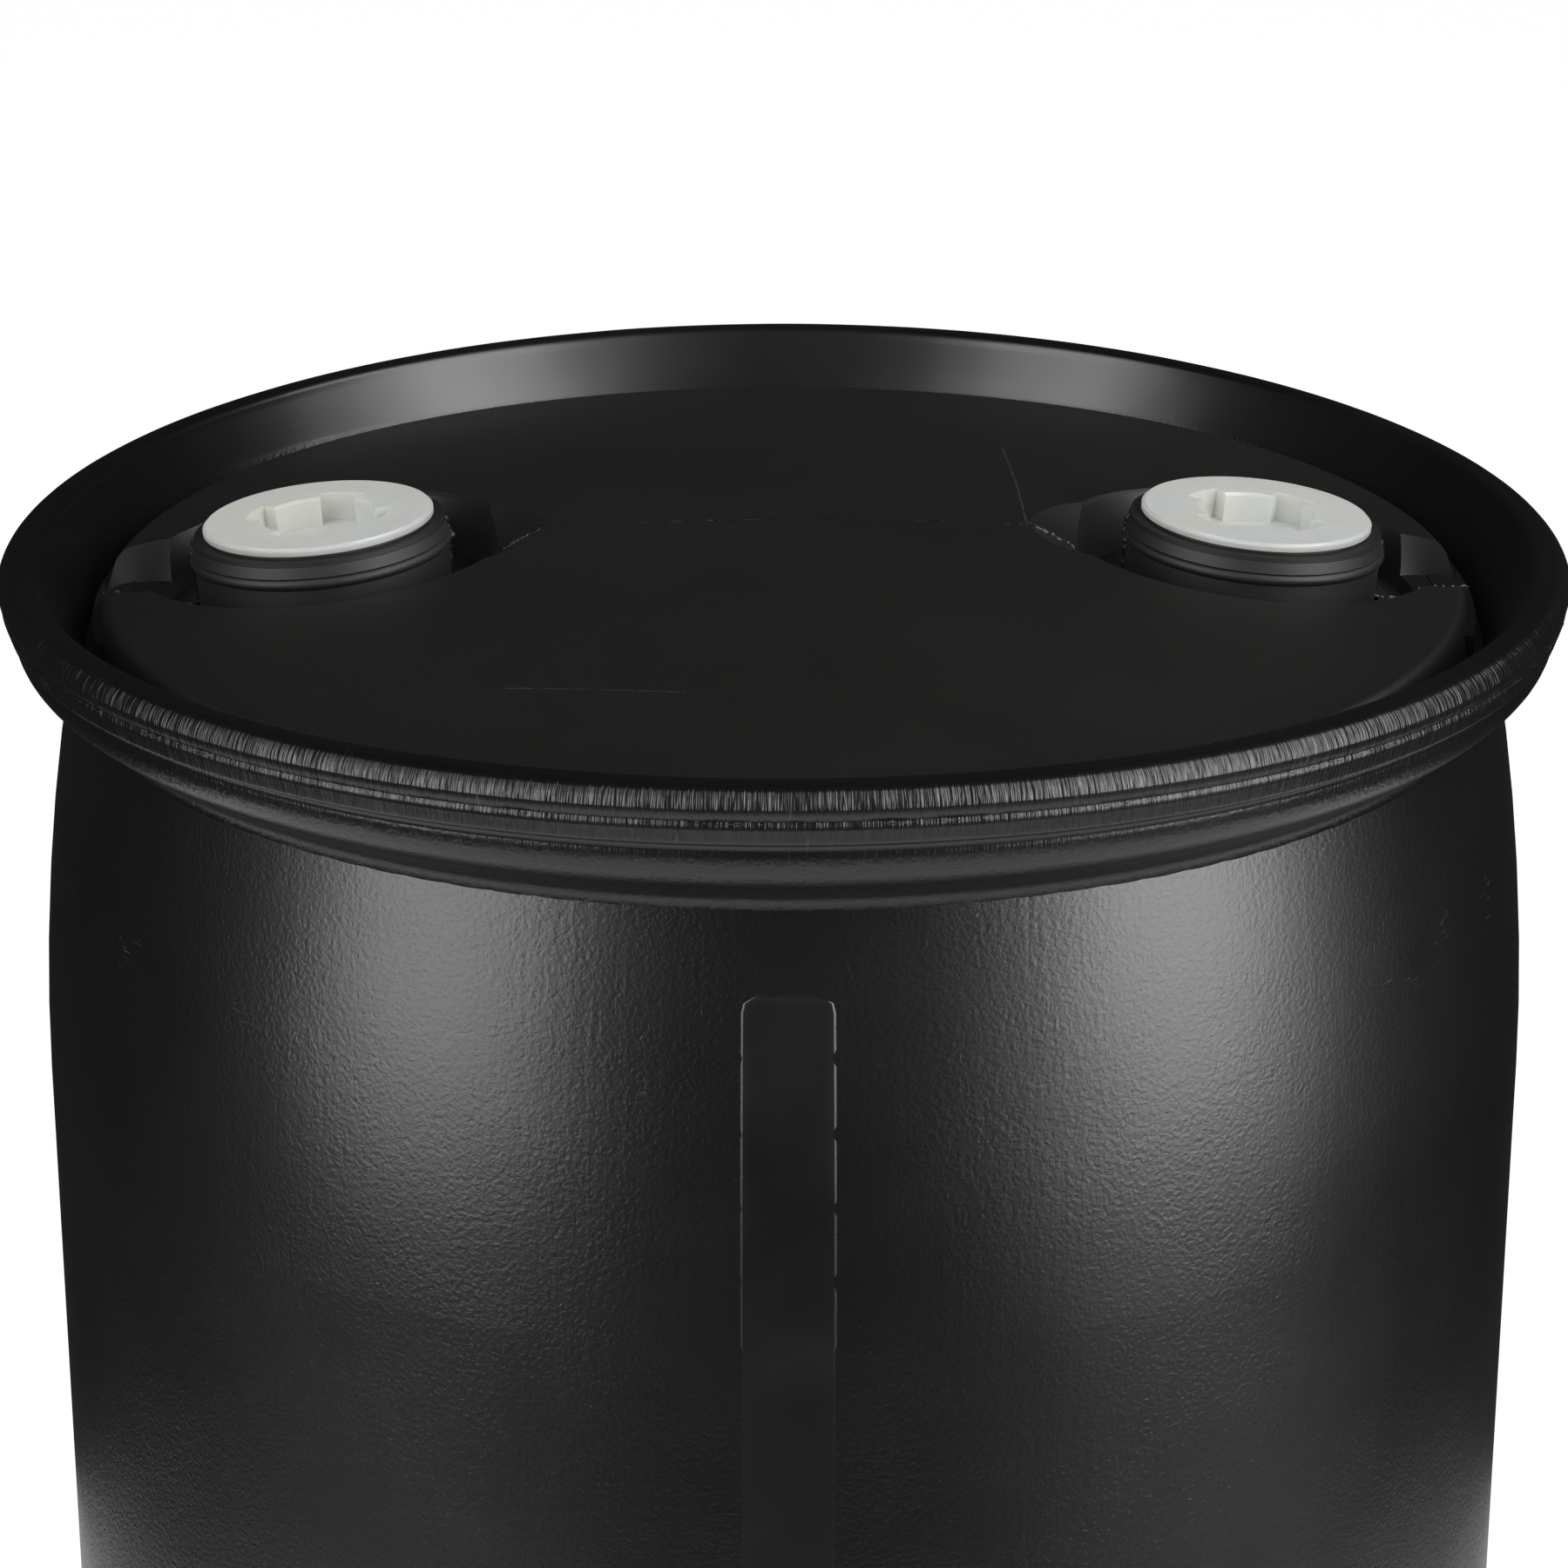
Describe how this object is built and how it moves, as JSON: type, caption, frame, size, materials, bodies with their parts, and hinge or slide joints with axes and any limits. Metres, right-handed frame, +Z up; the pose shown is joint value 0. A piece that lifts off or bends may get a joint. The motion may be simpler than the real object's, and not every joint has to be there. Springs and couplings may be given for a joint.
{
  "type": "closed-head plastic drum",
  "caption": "Black blow-moulded closed-head plastic drum with flared handling rings, a shallow domed head and white screw plugs in tilted necks.",
  "frame": {"origin": "centre of the face the drum stands on, at the bottom of the bounding box", "axes": "+Z up along the drum's axis; X runs through both necks, with the right neck at +X"},
  "size_m": [0.48, 0.48, 0.7443],
  "materials": {
    "shell_plastic": "textured black HDPE",
    "ring_plastic": "smooth black HDPE",
    "base_ring_plastic": "smooth black HDPE",
    "left_plug_plastic": "natural white HDPE",
    "right_plug_plastic": "natural white HDPE",
    "left_gasket_rubber": "black EPDM rubber",
    "right_gasket_rubber": "black EPDM rubber"
  },
  "bodies": {
    "drum": {"drum_shell": "shell_plastic", "upper_handling_ring": "ring_plastic", "base_ring": "base_ring_plastic"},
    "left_gasket": {"gasket_left": "left_gasket_rubber"},
    "left_plug": {"plug_left": "left_plug_plastic"},
    "right_gasket": {"gasket_right": "right_gasket_rubber"},
    "right_plug": {"plug_right": "right_plug_plastic"}
  },
  "joints": [
    {"name": "left_plug_rise", "type": "slide", "parent": "drum", "child": "left_gasket", "axis": [-0.0802, 0, 0.9968], "range_m": [0, 0.026]},
    {"name": "left_plug_turn", "type": "hinge", "parent": "left_gasket", "child": "left_plug", "pos_m": [-0.143, 0, 0.7381], "axis": [-0.0802, 0, 0.9968], "range_deg": [0, 1800]},
    {"name": "right_plug_rise", "type": "slide", "parent": "drum", "child": "right_gasket", "axis": [0.0802, 0, 0.9968], "range_m": [0, 0.026]},
    {"name": "right_plug_turn", "type": "hinge", "parent": "right_gasket", "child": "right_plug", "pos_m": [0.1454, 0, 0.7381], "axis": [0.0802, 0, 0.9968], "range_deg": [0, 1800]}
  ],
  "couplings": [
    {"joint": "left_plug_rise", "follows": "left_plug_turn", "m_per_rad": 0.00080851},
    {"joint": "right_plug_rise", "follows": "right_plug_turn", "m_per_rad": 0.00080851}
  ]
}
